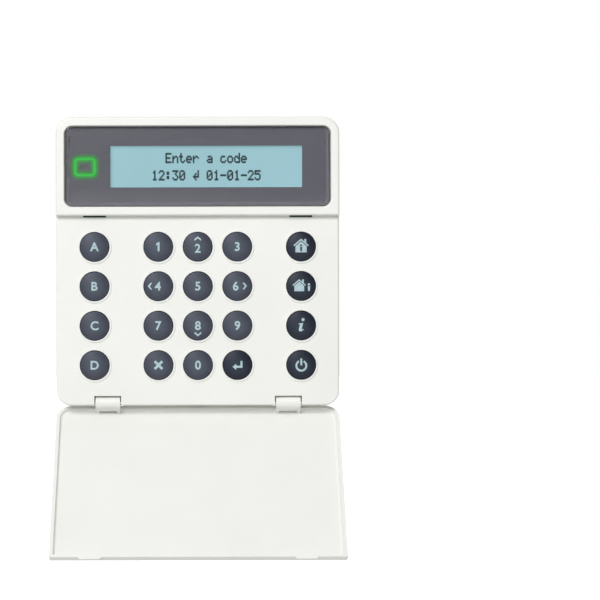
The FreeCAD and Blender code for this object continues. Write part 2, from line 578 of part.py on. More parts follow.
def snap_tab(x):
    """A tapered tab on the free edge that clicks into its slot under the step."""
    low, high = STEP_Z - DOOR_GAP - OVER, STEP_Z - DOOR_GAP + TAB_RISE
    y = (FACE + DOOR_SKIN - 0.1, FACE + DOOR_T - 0.1)
    narrow = TAB_W / 2
    wide = narrow + TAB_TAPER
    corners = ((-wide, low), (wide, low), (narrow, high), (-narrow, high), (-wide, low))
    tab = Part.Face(Part.makePolygon([Vector(x + dx, y[0], z) for dx, z in corners]))
    tab = tab.extrude(Vector(0, y[1] - y[0], 0))
    return rounded(tab, 0.3, lambda b: b.ZMin > high - 0.1 and b.XLength > 1)


def door_shell():
    """The door's tray, closed: an outer skin with a rim, which is narrow and lower along the free edge."""
    x, z = centred(0, DOOR_W), (-HALF_H, STEP_Z - DOOR_GAP)
    slab = panel(x, z, (FACE, FACE + DOOR_T), BOTTOM_R, DOOR_EDGE_R)
    slab = rounded(slab, DOOR_EDGE_R, lambda b: on_level(b, FACE) and b.ZMin < z[1] - 1)
    floor_x, floor_z = shrunk(x, RIM_W), (z[0] + RIM_W, z[1] - END_RIM_W)
    floor = FACE + DOOR_SKIN
    hollow = panel(floor_x, floor_z, (floor, FACE + DOOR_T + OVER), BOTTOM_R - RIM_W, 0.8)
    hollow = rounded(hollow, FLOOR_R, lambda b: on_level(b, floor))
    lowered = block(floor_x, (FACE + DOOR_T - END_RIM_DROP, 0), (floor_z[1] - 0.1, BEYOND))
    mark = (floor - EJECTOR_DEPTH, floor + OVER)
    marks = [rod(side * mark_x, mark_z, EJECTOR_R, mark) for mark_x, mark_z in EJECTORS for side in SIDES]
    return slab.cut([hollow, lowered, *marks])


def gate_stub():
    """The half-round stub of the moulding gate on the rim by the hinges."""
    return rod(GATE_X, -HALF_H + RIM_W / 2, GATE_R, (FACE + DOOR_T - OVER, FACE + DOOR_T + GATE_RISE))


def door_skirt():
    """A low lip along the hinged edge, between the arms."""
    y, z = (FACE + SKIRT_FROM, FACE + DOOR_T), (-HALF_H - SKIRT_DROP, -HALF_H + OVER)
    return block(centred(0, SKIRT_W), y, z)


def door_flap():
    """The door, made closed and then turned about the pivot to its open stop."""
    arms = [hinge_arm(x) for _, x in hinge_sides()]
    tabs = [snap_tab(side * CATCH_X) for side in SIDES]
    door = joined(door_shell(), door_skirt(), gate_stub(), *arms, *tabs)
    door.rotate(PIVOT, ALONG_X, OPEN_ANGLE)
    return door


def hinge_pin(x):
    length = NOTCH_W + 2 * (LUG_W - PIN_END_PLAY)
    return Part.makeCylinder(PIN_R, length, PIVOT + Vector(x - length / 2, 0, 0), ALONG_X)


def build():
    single = (
        rear_base, front_cover, cover_lock_screw, display_window, window_mask, lcd_glass, lcd_frame,
        lcd_backlight, status_light_pipe, key_mat, main_board, terminal_block, sounder, controller_chip,
        program_header, tamper_switch, tamper_spring, door_flap,
    )
    groups = (lcd_contact_strips, status_leds, key_leds, board_screws, terminal_screws, board_components)
    nodes = {make.__name__: make() for make in single}
    nodes.update({make.__name__: Part.makeCompound(make()) for make in groups})
    nodes.update({name: key_cap(x, z) for name, x, z in keys()})
    nodes.update({f"hinge_pin_{side}": hinge_pin(x) for side, x in hinge_sides()})
    return nodes


os.makedirs("parts", exist_ok=True)
for node, shape in build().items():
    if not shape.isValid():
        raise ValueError(f"{node} is not valid")
    shape.exportStep(f"parts/{node}.step")
    print(f"{node:20s} solids {len(shape.Solids)}  volume {shape.Volume:10.1f}")
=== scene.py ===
import bmesh
import bpy
import json
import math
from mathutils import Matrix, Vector

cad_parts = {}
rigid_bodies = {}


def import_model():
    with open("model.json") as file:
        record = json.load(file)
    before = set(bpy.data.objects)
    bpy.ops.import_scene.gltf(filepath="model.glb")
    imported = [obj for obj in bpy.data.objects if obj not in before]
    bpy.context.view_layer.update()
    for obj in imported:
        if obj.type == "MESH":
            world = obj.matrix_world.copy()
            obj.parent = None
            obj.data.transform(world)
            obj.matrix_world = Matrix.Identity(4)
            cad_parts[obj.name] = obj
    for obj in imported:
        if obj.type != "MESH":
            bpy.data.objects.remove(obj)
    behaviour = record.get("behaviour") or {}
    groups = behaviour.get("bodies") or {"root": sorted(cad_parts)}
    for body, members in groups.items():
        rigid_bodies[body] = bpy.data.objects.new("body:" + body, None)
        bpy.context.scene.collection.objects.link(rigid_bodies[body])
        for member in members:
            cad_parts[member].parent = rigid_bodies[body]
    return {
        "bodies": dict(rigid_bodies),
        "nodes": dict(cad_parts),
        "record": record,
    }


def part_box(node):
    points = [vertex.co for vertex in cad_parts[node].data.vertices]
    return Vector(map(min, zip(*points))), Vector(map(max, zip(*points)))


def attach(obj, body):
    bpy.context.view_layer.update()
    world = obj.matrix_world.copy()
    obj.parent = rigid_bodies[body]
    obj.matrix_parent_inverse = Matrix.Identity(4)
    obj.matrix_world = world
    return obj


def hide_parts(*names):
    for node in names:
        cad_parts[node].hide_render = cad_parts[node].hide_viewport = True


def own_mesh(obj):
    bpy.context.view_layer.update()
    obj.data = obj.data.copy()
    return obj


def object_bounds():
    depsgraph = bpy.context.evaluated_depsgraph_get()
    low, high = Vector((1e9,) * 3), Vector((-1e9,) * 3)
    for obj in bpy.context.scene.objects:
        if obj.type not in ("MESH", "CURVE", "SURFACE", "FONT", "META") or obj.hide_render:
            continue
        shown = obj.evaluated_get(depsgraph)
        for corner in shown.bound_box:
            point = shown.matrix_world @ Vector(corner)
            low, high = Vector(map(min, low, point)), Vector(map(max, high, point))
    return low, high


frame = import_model()
cad_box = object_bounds()

# Sizes below are in metres. MM makes them readable.
MM = 0.001
KEY_RADIUS = 6.15 * MM
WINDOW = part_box("display_window")
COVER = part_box("front_cover")
COVER_CENTRE = (COVER[0] + COVER[1]) / 2


# ---------------------------------------------------------------- material helpers

class Surface:
    """One material: a Principled shader, and short calls for the nodes that feed it."""

    def __init__(self, name, **sockets):
        self.material = bpy.data.materials.new(name)
        self.material.use_nodes = True
        self.tree = self.material.node_tree
        self.tree.nodes.clear()
        self.shader = self.node("ShaderNodeBsdfPrincipled")
        output = self.node("ShaderNodeOutputMaterial")
        self.link(self.shader.outputs["BSDF"], output.inputs["Surface"])
        self.place = self.node("ShaderNodeTexCoord").outputs["Object"]
        for socket, value in sockets.items():
            self.shader.inputs[socket.replace("_", " ")].default_value = value

    def node(self, kind, **settings):
        made = self.tree.nodes.new(kind)
        for key, value in settings.items():
            setattr(made, key, value)
        return made

    def link(self, source, target):
        self.tree.links.new(source, target)

    def math(self, operation, *values):
        made = self.node("ShaderNodeMath", operation=operation)
        for socket, value in zip(made.inputs, values):
            if isinstance(value, (int, float)):
                socket.default_value = value
            else:
                self.link(value, socket)
        return made.outputs[0]

    def vector_math(self, operation, *values):
        made = self.node("ShaderNodeVectorMath", operation=operation)
        for socket, value in zip(made.inputs, values):
            if isinstance(value, tuple):
                socket.default_value = value
            else:
                self.link(value, socket)
        return made

    def split(self, vector):
        """The X, Y and Z of a vector."""
        made = self.node("ShaderNodeSeparateXYZ")
        self.link(vector, made.inputs["Vector"])
        return made.outputs

    def noise(self, size, detail=4.0, stretch=(1, 1, 1)):
        """Noise whose blobs are about that many metres across, longer where stretch is under 1."""
        mapping = self.node("ShaderNodeMapping")
        mapping.inputs["Scale"].default_value = stretch
        self.link(self.place, mapping.inputs["Vector"])
        made = self.node("ShaderNodeTexNoise")
        made.inputs["Scale"].default_value = 1 / size
        made.inputs["Detail"].default_value = detail
        self.link(mapping.outputs["Vector"], made.inputs["Vector"])
        return made.outputs["Fac"]

    def ramp(self, value, *stops):
        """A colour ramp from (position, colour) stops."""
        made = self.node("ShaderNodeValToRGB")
        elements = made.color_ramp.elements
        while len(elements) < len(stops):
            elements.new(1.0)
        for element, (position, colour) in zip(elements, stops):
            element.position = position
            element.color = (*colour, 1.0)
        self.link(value, made.inputs["Fac"])
        return made.outputs["Color"]

    def colour(self, low, high, size, detail=4.0, stretch=(1, 1, 1)):
        """The base colour drifts between two colours."""
        drift = self.ramp(self.noise(size, detail, stretch), (0.35, low), (0.65, high))
        self.link(drift, self.shader.inputs["Base Color"])

    def roughness(self, low, high, size, stretch=(1, 1, 1)):
        spread = self.node("ShaderNodeMapRange")
        spread.inputs["To Min"].default_value = low
        spread.inputs["To Max"].default_value = high
        self.link(self.noise(size, 3.0, stretch), spread.inputs["Value"])
        self.link(spread.outputs["Result"], self.shader.inputs["Roughness"])

    def bump(self, height, depth, strength):
        made = self.node("ShaderNodeBump")
        made.inputs["Distance"].default_value = depth
        made.inputs["Strength"].default_value = strength
        self.link(height, made.inputs["Height"])
        self.link(made.outputs["Normal"], self.shader.inputs["Normal"])

    def glow(self, colour, strength):
        self.link(colour, self.shader.inputs["Emission Color"])
        self.shader.inputs["Emission Strength"].default_value = strength


def between(colour, factor):
    """A colour between black and the one given, or a little past it."""
    return tuple(channel * factor for channel in colour)


def grey(level):
    return (level,) * 3


def moulded(name, colour, grain=0.35 * MM, rough=(0.36, 0.46), drift=0.02, strength=0.25):
    """Moulded plastic: a fine spark-eroded grain, and the slight cloudiness of a large moulding."""
    surface = Surface(name)
    surface.colour(between(colour, 1 - drift), between(colour, 1 + drift / 2), 30 * MM)
    surface.roughness(*rough, 6 * MM)
    surface.bump(surface.noise(grain, 2.0), 0.02 * MM, strength)
    return surface.material


def metal(name, colour, rough, stretch):
    """Turned or drawn metal: fine lines one way, with a little tarnish."""
    surface = Surface(name, Metallic=1.0)
    surface.colour(between(colour, 0.8), colour, 1.5 * MM, 5.0)
    surface.roughness(*rough, 0.4 * MM, stretch)
    surface.bump(surface.noise(0.15 * MM, 2.0, stretch), 0.01 * MM, 0.3)
    return surface.material


# ---------------------------------------------------------------- materials

CASE_WHITE = (0.790, 0.797, 0.760)
KEY_SLATE = (0.041, 0.046, 0.064)
KEY_NAVY = (0.006, 0.009, 0.017)
LEGEND_LIGHT = (0.50, 0.68, 0.73)
LCD_TEAL = (0.315, 0.550, 0.610)
MASK_GREY = (0.105, 0.104, 0.131)
RING_GREEN = (0.008, 0.61, 0.036)

# Places on the front of the case: centres and half sizes are across and up.
RING_CENTRE, RING_HALF, RING_CORNER = (-47.8 * MM, 40.1 * MM), (4.1 * MM, 3.4 * MM), 1.4 * MM
PANE_CORNER = 3.35 * MM
LCD_LEFT, LCD_TOP = -37.0 * MM, 49.05 * MM
# How far the ring's painted glow, the painted shade of the window's rim and the painted shade on the LCD reach.
RING_HALO, PAINTED_RIM_SHADE, PAINTED_LCD_SHADE = 3.0 * MM, 1.2 * MM, 1.3 * MM
# The painted sheen on the window's bevel, per unit of lean. It stops where the normal's Y is under the last
# number.
PAINTED_SIDE_SHEEN, PAINTED_FOOT_SHEEN, SHALLOW = 6.6, 2.3, 0.97


def window_material():
    """Smoked acrylic, polished. A painted sheen lightens the base colour of its bevel at the sides, less at the
    foot and not at the top.
    """
    surface = Surface("smoked_window", Roughness=0.12, IOR=2.4, Alpha=0.12, Coat_Weight=1.0, Coat_Roughness=0.1)
    surface.shader.inputs["Coat IOR"].default_value = 2.0
    normal = surface.split(surface.node("ShaderNodeNewGeometry").outputs["True Normal"])
    # Painted sheen: the bevel's base colour is lighter where its normal leans sideways or down.
    shallow = surface.math("GREATER_THAN", surface.math("ABSOLUTE", normal["Y"]), SHALLOW)
    sideways = surface.math("MULTIPLY", surface.math("ABSOLUTE", normal["X"]), PAINTED_SIDE_SHEEN)
    downwards = surface.math("MAXIMUM", surface.math("MULTIPLY", normal["Z"], -1.0), 0.0)
    downwards = surface.math("MULTIPLY", downwards, PAINTED_FOOT_SHEEN)
    painted_bevel_sheen = surface.math("MULTIPLY", surface.math("ADD", sideways, downwards), shallow)
    cloud = surface.math("MULTIPLY", surface.noise(20 * MM), 0.1)
    tint_and_painted_sheen = surface.ramp(
        surface.math("ADD", painted_bevel_sheen, cloud),
        (0.0, (0.055, 0.055, 0.064)),
        (0.1, (0.065, 0.065, 0.074)),
        (0.85, (0.72, 0.72, 0.74)),
    )
    surface.link(tint_and_painted_sheen, surface.shader.inputs["Base Color"])
    return surface.material


def outline_distance(surface, centres, halves, radius):
    """How far a point is outside a rectangle with round corners, seen from the front; negative inside it."""
    place = surface.split(surface.place)
    outside = []
    for axis, centre, half in zip("XZ", centres, halves):
        offset = surface.math("ABSOLUTE", surface.math("SUBTRACT", place[axis], centre))
        outside.append(surface.math("SUBTRACT", offset, half - radius))
    squares = [surface.math("POWER", surface.math("MAXIMUM", q, 0.0), 2.0) for q in outside]
    corner = surface.math("SQRT", surface.math("ADD", *squares))
    inner = surface.math("MINIMUM", surface.math("MAXIMUM", *outside), 0.0)
    return surface.math("SUBTRACT", surface.math("ADD", corner, inner), radius)


def mask_material():
    """The grey print behind the window: the status ring's glow and its halo are painted on it as emission, and
    a painted shade darkens it along the window's rim.
    """
    surface = Surface("printed_mask", Roughness=0.5)
    # Painted glow: the ring's light and the halo round it are emission on the print.
    from_ring = surface.math("ABSOLUTE", outline_distance(surface, RING_CENTRE, RING_HALF, RING_CORNER))
    near = surface.math("DIVIDE", from_ring, RING_HALO)
    light = surface.ramp(
        near,
        (0.0, RING_GREEN),
        (0.07, between(RING_GREEN, 0.9)),
        (0.21, between(RING_GREEN, 0.58)),
        (0.36, between(RING_GREEN, 0.38)),
        (0.50, between(RING_GREEN, 0.24)),
        (0.64, between(RING_GREEN, 0.12)),
        (0.93, (0, 0, 0)),
    )
    surface.glow(light, 1.0)
    clear = surface.ramp(near, (0.21, grey(0.05)), (0.36, grey(0.26)), (0.50, grey(0.5)), (0.93, grey(1)))
    ink = surface.ramp(
        surface.noise(14 * MM), (0.3, between(MASK_GREY, 0.97)), (0.7, between(MASK_GREY, 1.03))
    )
    low, high = WINDOW
    centres = (low.x + high.x) / 2, (low.z + high.z) / 2
    halves = (high.x - low.x) / 2, (high.z - low.z) / 2
    # Painted shade: the print darkens within a short reach inside the window's rim.
    within = surface.math("MULTIPLY", outline_distance(surface, centres, halves, PANE_CORNER), -1 / PAINTED_RIM_SHADE)
    painted_rim_shade = surface.ramp(within, (0.0, grey(0.3)), (0.4, grey(0.42)), (0.95, grey(1)))
    ink = surface.vector_math("MULTIPLY", clear, ink).outputs["Vector"]
    ink = surface.vector_math("MULTIPLY", ink, painted_rim_shade).outputs["Vector"]
    surface.link(ink, surface.shader.inputs["Base Color"])
    return surface.material


def lcd_material():
    """The lit cell: teal, clouded a little, with a painted shade along its left and top edges, where the
    print's edge would shade it.
    """
    surface = Surface("lcd_cell", Roughness=0.3)
    surface.colour(between(LCD_TEAL, 0.185), between(LCD_TEAL, 0.20), 40 * MM, 1.0)
    place = surface.split(surface.place)
    # Painted shade: the glow dims within a short reach of the opening's left and top edges.
    from_left = surface.math("SUBTRACT", place["X"], LCD_LEFT)
    from_top = surface.math("SUBTRACT", LCD_TOP, place["Z"])
    inset = surface.math("MINIMUM", surface.math("MINIMUM", from_left, from_top), PAINTED_LCD_SHADE)
    clear = surface.math("DIVIDE", surface.math("MAXIMUM", inset, 0.0), PAINTED_LCD_SHADE)
    cloud = surface.math("MULTIPLY", surface.noise(45 * MM, 1.0), 0.25)
    lit = surface.ramp(
        surface.math("ADD", surface.math("MULTIPLY", clear, 0.75), cloud),
        (0.10, between(LCD_TEAL, 0.72)),
        (0.50, between(LCD_TEAL, 0.93)),
        (0.75, between(LCD_TEAL, 1.01)),
        (0.825, between(LCD_TEAL, 1.035)),
        (0.925, between(LCD_TEAL, 1.09)),
    )
    surface.glow(lit, 1.0)
    return surface.material


def key_material(name, colour, halo):
    """A painted key cap: satin, with a painted glow round the legend that stands for its light spreading into
    the plastic.
    """
    surface = Surface(name, Specular_IOR_Level=0.26, Specular_Tint=(0.84, 0.87, 1.0, 1.0))
    surface.colour(between(colour, 0.94), between(colour, 1.08), 3 * MM, 3.0)
    surface.roughness(0.34, 0.46, 1.2 * MM)
    surface.bump(surface.noise(0.3 * MM, 2.0), 0.01 * MM, 0.2)
    # Painted glow: emission that fades out from the key's centre.
    across = surface.vector_math("MULTIPLY", surface.place, (1, 0, 1)).outputs["Vector"]
    near = surface.math("DIVIDE", surface.vector_math("LENGTH", across).outputs["Value"], KEY_RADIUS)
    spread = surface.ramp(
        near, (0.0, between(LEGEND_LIGHT, halo)), (0.4, between(LEGEND_LIGHT, halo * 0.6)), (0.8, (0, 0, 0))
    )
    surface.glow(spread, 1.0)
    return surface.material


def legend_material():
    """A key's legend, lit from below and a little uneven."""
    surface = Surface("legend_light", Roughness=0.4)
    surface.colour(between(LEGEND_LIGHT, 0.24), between(LEGEND_LIGHT, 0.28), 1 * MM)
    lit = surface.ramp(
        surface.noise(1.5 * MM), (0.3, between(LEGEND_LIGHT, 0.42)), (0.7, between(LEGEND_LIGHT, 0.60))
    )
    surface.glow(lit, 1.0)
    return surface.material


def text_material():
    """The darkened dots of the LCD."""
    surface = Surface("lcd_segments", Roughness=0.35)
    surface.colour((0.030, 0.080, 0.095), (0.042, 0.105, 0.122), 2 * MM)
    return surface.material


def board_material():
    """Solder mask with copper tracks under it and tinned pads."""
    surface = Surface("circuit_board", Roughness=0.35)
    cells = surface.node("ShaderNodeTexBrick", offset=0.5)
    cells.inputs["Scale"].default_value = 1 / (4 * MM)
    cells.inputs["Mortar Size"].default_value = 0.045
    cells.inputs["Color1"].default_value = (0.010, 0.085, 0.030, 1)
    cells.inputs["Color2"].default_value = (0.014, 0.110, 0.040, 1)
    cells.inputs["Mortar"].default_value = (0.030, 0.190, 0.080, 1)
    turn = surface.node("ShaderNodeMapping")
    turn.inputs["Rotation"].default_value = (math.pi / 2, 0, 0)
    surface.link(surface.place, turn.inputs["Vector"])
    surface.link(turn.outputs["Vector"], cells.inputs["Vector"])
    surface.link(cells.outputs["Color"], surface.shader.inputs["Base Color"])
    surface.bump(cells.outputs["Fac"], 0.03 * MM, 0.4)
    return surface.material


# One finish for each of the record's material slots.
FINISHES = {
    "case_plastic": moulded("case_plastic", CASE_WHITE),
    "window_smoke": window_material(),
    "mask_print": mask_material(),
    "lcd_cell": lcd_material(),
    "black_plastic": moulded("black_plastic", (0.022, 0.022, 0.024), rough=(0.3, 0.45), drift=0.1),
    "backlight": moulded("light_guide", (0.70, 0.80, 0.80), rough=(0.25, 0.35)),
    "silicone": moulded("silicone", (0.52, 0.52, 0.50), grain=0.5 * MM, rough=(0.55, 0.7)),
    "light_pipe": moulded("light_pipe", (0.05, 0.55, 0.09), rough=(0.15, 0.25)),
    "led_body": moulded("lamp_body", (0.80, 0.81, 0.72), rough=(0.2, 0.3)),
    "circuit_board": board_material(),
    "plated_steel": metal("plated_steel", (0.60, 0.60, 0.57), (0.25, 0.4), (1, 1, 1)),
    "terminal_plastic": moulded("terminal_plastic", (0.02, 0.20, 0.07), rough=(0.35, 0.5), drift=0.06),
    "can_aluminium": metal("can_aluminium", (0.72, 0.72, 0.74), (0.25, 0.35), (1, 8, 1)),
    "spring_steel": metal("spring_steel", (0.50, 0.50, 0.49), (0.2, 0.35), (1, 0.2, 1)),
    "pin_steel": metal("pin_steel", (0.60, 0.60, 0.60), (0.15, 0.3), (8, 1, 1)),
    "key_slate": key_material("key_slate", KEY_SLATE, 0.07),
    "key_navy": key_material("key_navy", KEY_NAVY, 0.04),
}
LEGEND_FINISH = legend_material()
TEXT_FINISH = text_material()
SLOTS = {entry["node"]: entry["material_slot"] for entry in frame["record"]["subparts"]}
for name, node in frame["nodes"].items():
    node.data.materials.clear()
    node.data.materials.append(FINISHES[SLOTS[name]])


# ---------------------------------------------------------------- meshes

def shown(name, data):
    """A new object in the scene."""
    made = bpy.data.objects.new(name, data)
    bpy.context.scene.collection.objects.link(made)
    return made


def piece(name, mesh, material):
    """One piece of the visual model. It still has to be given a body to ride on."""
    made = shown(name, mesh)
    mesh.materials.clear()
    mesh.materials.append(material)
    return made


def finished(shape, name, sharp=None):
    """The mesh of a bmesh, smooth except at edges that turn by more than sharp degrees, or left flat."""
    if sharp is not None:
        bmesh.ops.recalc_face_normals(shape, faces=shape.faces)
        for face in shape.faces:
            face.smooth = True
    mesh = bpy.data.meshes.new(name)
    shape.to_mesh(mesh)
    shape.free()
    if sharp is not None:
        mesh.set_sharp_from_angle(angle=math.radians(sharp))
    return mesh


def lathe(name, profile, segments=96):
    """A closed mesh turned about the Y axis, from (radius, y) points that start and end on the axis."""
    shape = bmesh.new()
    rings = []
    for radius, y in profile:
        if radius == 0:
            rings.append([shape.verts.new((0, y, 0))])
            continue
        angles = [2 * math.pi * i / segments for i in range(segments)]
        rings.append([shape.verts.new((radius * math.cos(a), y, radius * math.sin(a))) for a in angles])
    for near, far in zip(rings, rings[1:]):
        for i in range(segments):
            j = (i + 1) % segments
            corners = [near[i % len(near)], near[j % len(near)], far[j % len(far)], far[i % len(far)]]
            shape.faces.new(list(dict.fromkeys(corners)))
    return finished(shape, name, sharp=40)


# ---------------------------------------------------------------- window

PANE_BEVEL = 1.8 * MM
PANE_FALL = 0.20 * MM
PANE_EDGE = 0.15 * MM
CORNER_STEPS, EDGE_STEPS = 24, 12


def rounded_loop(shape, low, high, inset, depth):
    """A loop of vertices round the window's box, with round corners, set in from its sides and its front."""
    loop = []
    reach = PANE_CORNER - inset
    for number, (x, z) in enumerate(((high.x, high.z), (low.x, high.z), (low.x, low.z), (high.x, low.z))):
        middle_x = x - math.copysign(PANE_CORNER, x - (low.x + high.x) / 2)
        middle_z = z - math.copysign(PANE_CORNER, z - (low.z + high.z) / 2)
        for step in range(CORNER_STEPS + 1):
            angle = math.pi / 2 * (number + step / CORNER_STEPS)
            place = (middle_x + reach * math.cos(angle), low.y + depth, middle_z + reach * math.sin(angle))
            loop.append(shape.verts.new(place))
    return loop


def pane_mesh(low, high):
    """The window: a plate whose front falls away in a wide, shallow bevel with a fine broken edge."""
    profile = [(0, high.y - low.y)]
    for step in range(EDGE_STEPS + 1):
        angle = math.pi / 2 * step / EDGE_STEPS
        profile.append((PANE_EDGE * (1 - math.cos(angle)), PANE_FALL + PANE_EDGE * (1 - math.sin(angle))))
    profile.append((PANE_BEVEL, 0))
    shape = bmesh.new()
    loops = [rounded_loop(shape, low, high, inset, depth) for inset, depth in profile]
    for outer, inner in zip(loops, loops[1:]):
        for i in range(len(outer)):
            j = (i + 1) % len(outer)
            shape.faces.new((outer[i], outer[j], inner[j], inner[i]))
    shape.faces.new(loops[-1])
    shape.faces.new(loops[0])
    return finished(shape, "window_pane", sharp=8)


pane = piece("window_pane", pane_mesh(*WINDOW), FINISHES["window_smoke"])
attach(pane, "case")
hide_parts("display_window")


# ---------------------------------------------------------------- keys

KEY_CROWN = 0.70 * MM
KEY_EDGE = 0.35 * MM
DOME_RADIUS = (KEY_RADIUS ** 2 + KEY_CROWN ** 2) / (2 * KEY_CROWN)
FLANGE_RADIUS, STEM_RADIUS = 7.05 * MM, 2.0 * MM
FLANGE_FROM, FLANGE_TO = 3.5 * MM, 4.3 * MM
DOME_STEPS, ROUND_STEPS = 14, 6


def dome_depth(radius):
    """How far the dome has fallen below its top at a distance from the key's axis."""
    return DOME_RADIUS - math.sqrt(DOME_RADIUS ** 2 - radius ** 2)


def key_profile(depth):
    """Half of a key's section: dome, rounded edge, side, the flange that keeps it in the cover, and stem."""
    inner = KEY_RADIUS - KEY_EDGE
    radii = [inner * i / DOME_STEPS for i in range(DOME_STEPS + 1)]
    points = [(radius, dome_depth(radius)) for radius in radii]
    shoulder = dome_depth(inner)
    for i in range(1, ROUND_STEPS + 1):
        turn = math.pi / 2 * i / ROUND_STEPS
        points.append((inner + KEY_EDGE * math.sin(turn), shoulder + KEY_EDGE * (1 - math.cos(turn))))
    return points + [
        (KEY_RADIUS, FLANGE_FROM),
        (FLANGE_RADIUS, FLANGE_FROM),
        (FLANGE_RADIUS, FLANGE_TO),
        (STEM_RADIUS, FLANGE_TO),
        (STEM_RADIUS, depth),
        (0, depth),
    ]


def key_centre(node):
    """The top of a key's dome."""
    low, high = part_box(node)
    return Vector(((low.x + high.x) / 2, low.y, (low.z + high.z) / 2))


KEYS = [name for name in frame["bodies"] if name.startswith("key_")]
key_low, key_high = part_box(KEYS[0])
for name in KEYS:
    mesh = lathe(name + "_cap", key_profile(key_high.y - key_low.y))
    cap = piece(name + "_cap", mesh, FINISHES[SLOTS[name]])
    cap.location = key_centre(name)
    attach(cap, name)
    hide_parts(name)


# ---------------------------------------------------------------- key mat

MAT = frame["nodes"]["key_mat"]
SHEET_THICKNESS = 1.0 * MM
DOME_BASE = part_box("key_mat")[1].y - SHEET_THICKNESS


def mat_share(wanted):
    """The faces of the mat that are wanted, after a cut along the front of its sheet."""
    shape = bmesh.new()
    shape.from_mesh(MAT.data)
    shape.transform(MAT.matrix_world)
    everything = shape.verts[:] + shape.edges[:] + shape.faces[:]
    bmesh.ops.bisect_plane(shape, geom=everything, plane_co=(0, DOME_BASE, 0), plane_no=(0, 1, 0))
    spare = [face for face in shape.faces if not wanted(face.calc_center_median())]
    bmesh.ops.delete(shape, geom=spare, context="FACES")
    return finished(shape, "mat_share")


def mat_dome(centre):
    """The dome under one key."""
    def on_dome(at):
        return at.y < DOME_BASE and math.hypot(at.x - centre.x, at.z - centre.z) < KEY_RADIUS

    return mat_share(on_dome)


sheet = piece("mat_sheet", mat_share(lambda at: at.y > DOME_BASE), FINISHES["silicone"])
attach(sheet, "case")
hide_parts("key_mat")
for name in KEYS:
    centre = key_centre(name)
    dome = piece(name + "_dome", mat_dome(centre), FINISHES["silicone"])
    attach(dome, "case")
    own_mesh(dome)


# ---------------------------------------------------------------- key legends

# Outlines and letters are drawn in millimetres from the key's centre.

def flat_mesh(splines):
    """A filled flat mesh in the XY plane from closed outlines. An outline inside another one is a hole."""
    curve = bpy.data.curves.new("outline", "CURVE")
    curve.dimensions = "2D"
    curve.fill_mode = "BOTH"
    for points in splines:
        spline = curve.splines.new("POLY")
        spline.points.add(len(points) - 1)
        for target, (x, y) in zip(spline.points, points):
            target.co = (x * MM, y * MM, 0, 1)
        spline.use_cyclic_u = True
    return meshed(curve)


def flat_text(letters, size, bold):
    """Letters in Blender's own font, as a flat mesh in the XY plane."""
    curve = bpy.data.curves.new("letters", "FONT")
    curve.body = letters
    curve.size = size * MM
    curve.offset = bold * MM
    curve.align_x = "CENTER"
    curve.align_y = "CENTER"
    curve.resolution_u = 6
    return meshed(curve)


def meshed(curve):
    """The mesh that a curve or a text makes."""
    holder = shown("holder", curve)
    bpy.context.view_layer.update()
    graph = bpy.context.evaluated_depsgraph_get()
    mesh = bpy.data.meshes.new_from_object(holder.evaluated_get(graph))
    bpy.data.objects.remove(holder)
    return mesh


def placed(mesh, x, y):
    """The mesh moved so that its box is centred on a point, because the font sets letters off centre."""
    xs = [v.co.x for v in mesh.vertices]
    ys = [v.co.y for v in mesh.vertices]
    middle = Vector(((min(xs) + max(xs)) / 2, (min(ys) + max(ys)) / 2, 0))
    mesh.transform(Matrix.Translation(Vector((x * MM, y * MM, 0)) - middle))
    return mesh


LEGEND_LIFT, LEGEND_THICKNESS, LONGEST_EDGE = 0.03 * MM, 0.10 * MM, 0.5 * MM
MOST_CUTS = 4


def legend(name, body, parts):
    """Prints flat parts on a key's dome: they are joined, cut fine, laid on the dome and given thickness."""
    shape = bmesh.new()
    for part in parts:
        shape.from_mesh(part)
        bpy.data.meshes.remove(part)
    bmesh.ops.remove_doubles(shape, verts=shape.verts, dist=0.001 * MM)
    bmesh.ops.triangulate(shape, faces=shape.faces)
    for _ in range(MOST_CUTS):
        long = [e for e in shape.edges if e.calc_length() > LONGEST_EDGE]
        if not long:
            break
        bmesh.ops.subdivide_edges(shape, edges=long, cuts=1)
        bmesh.ops.triangulate(shape, faces=[f for f in shape.faces if len(f.verts) > 3])
    for vert in shape.verts:
        x, z = vert.co.x, vert.co.y
        vert.co = (x, dome_depth(math.hypot(x, z)) - LEGEND_LIFT, z)
    bmesh.ops.recalc_face_normals(shape, faces=shape.faces)
    for face in shape.faces:
        if face.normal.y > 0:
            face.normal_flip()
    made = piece(name, finished(shape, name), LEGEND_FINISH)
    thick = made.modifiers.new("thickness", "SOLIDIFY")
    thick.thickness = LEGEND_THICKNESS
    thick.offset = -1.0
    made.location = key_centre(body)
    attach(made, body)


def circle(x, y, radius, count=28):
    return [
        (x + radius * math.cos(2 * math.pi * i / count), y + radius * math.sin(2 * math.pi * i / count))
        for i in range(count)
    ]


def arc_band(x, y, radius, width, first, last, count=40):
    """A band along an arc, between two angles in degrees."""
    angles = [math.radians(first + (last - first) * i / count) for i in range(count + 1)]
    outer = [(x + (radius + width / 2) * math.cos(a), y + (radius + width / 2) * math.sin(a)) for a in angles]
    inner = [(x + (radius - width / 2) * math.cos(a), y + (radius - width / 2) * math.sin(a)) for a in angles]
    return outer + inner[::-1]


def chevron(x, y, direction, reach=1.4, rise=1.15, weight=0.75):
    """A small arrow head without a shaft, pointing along an angle in degrees."""
    tip = [(rise / 2, 0), (-rise / 2, reach), (-rise / 2 - weight, reach), (rise / 2 - weight - 0.1, 0)]
    tip += [(-rise / 2 - weight, -reach), (-rise / 2, -reach)]
    turn = math.radians(direction)
    return [
        (x + px * math.cos(turn) - py * math.sin(turn), y + px * math.sin(turn) + py * math.cos(turn))
        for px, py in tip
    ]


